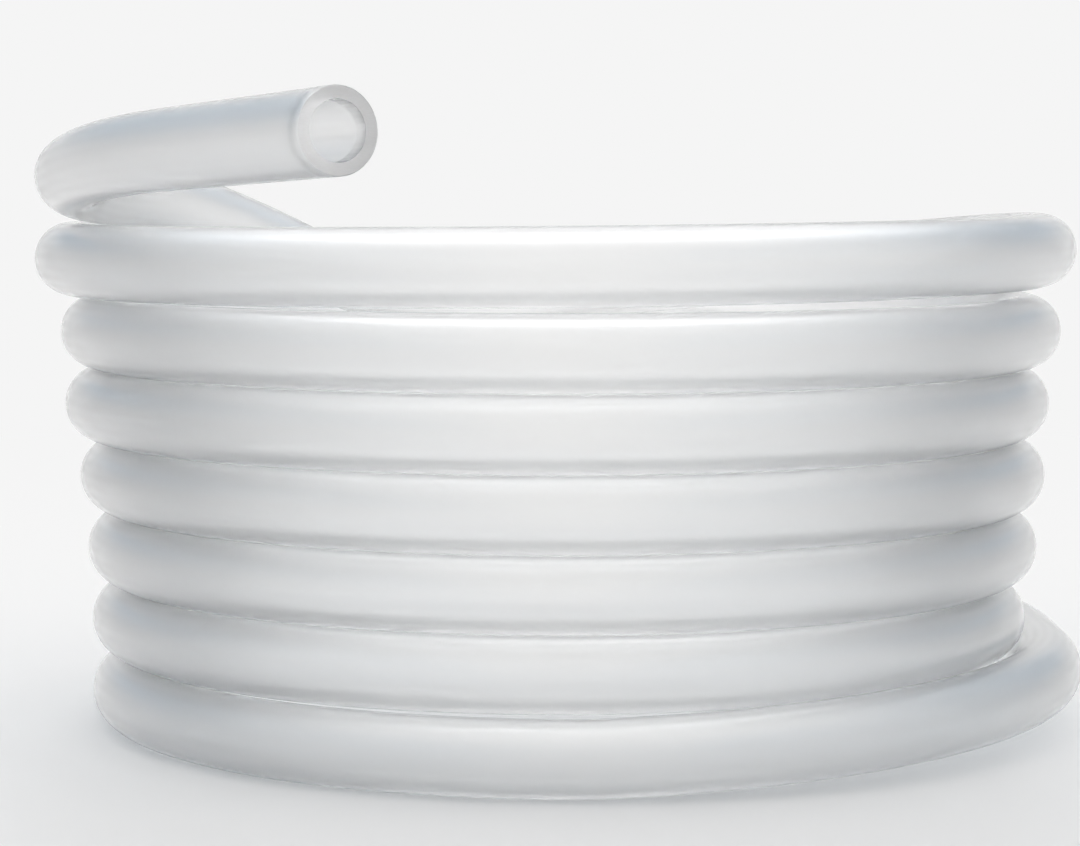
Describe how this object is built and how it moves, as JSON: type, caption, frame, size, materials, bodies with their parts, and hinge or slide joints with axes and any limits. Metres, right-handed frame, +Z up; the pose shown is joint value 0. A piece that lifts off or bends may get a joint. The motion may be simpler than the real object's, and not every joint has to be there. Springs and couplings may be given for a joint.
{
  "type": "coil of silicone tubing",
  "caption": "Length of clear silicone laboratory tubing wound in a stack of close turns round an open eye, with both ends cut square and open.",
  "frame": {"origin": "the coil's own axis, at the level of the bench it lies on", "axes": "+Z up along the coil's axis; the free upper end leaves the top turn at -X and stands out in front, at -Y; the lower end lies behind on the -X side"},
  "size_m": [0.1479, 0.1975, 0.0873],
  "materials": {
    "silicone": "smooth translucent silicone, slightly milky, soft gloss on the skin and matt on the cut faces"
  },
  "bodies": {
    "root": {"tubing": "silicone"}
  },
  "joints": []
}
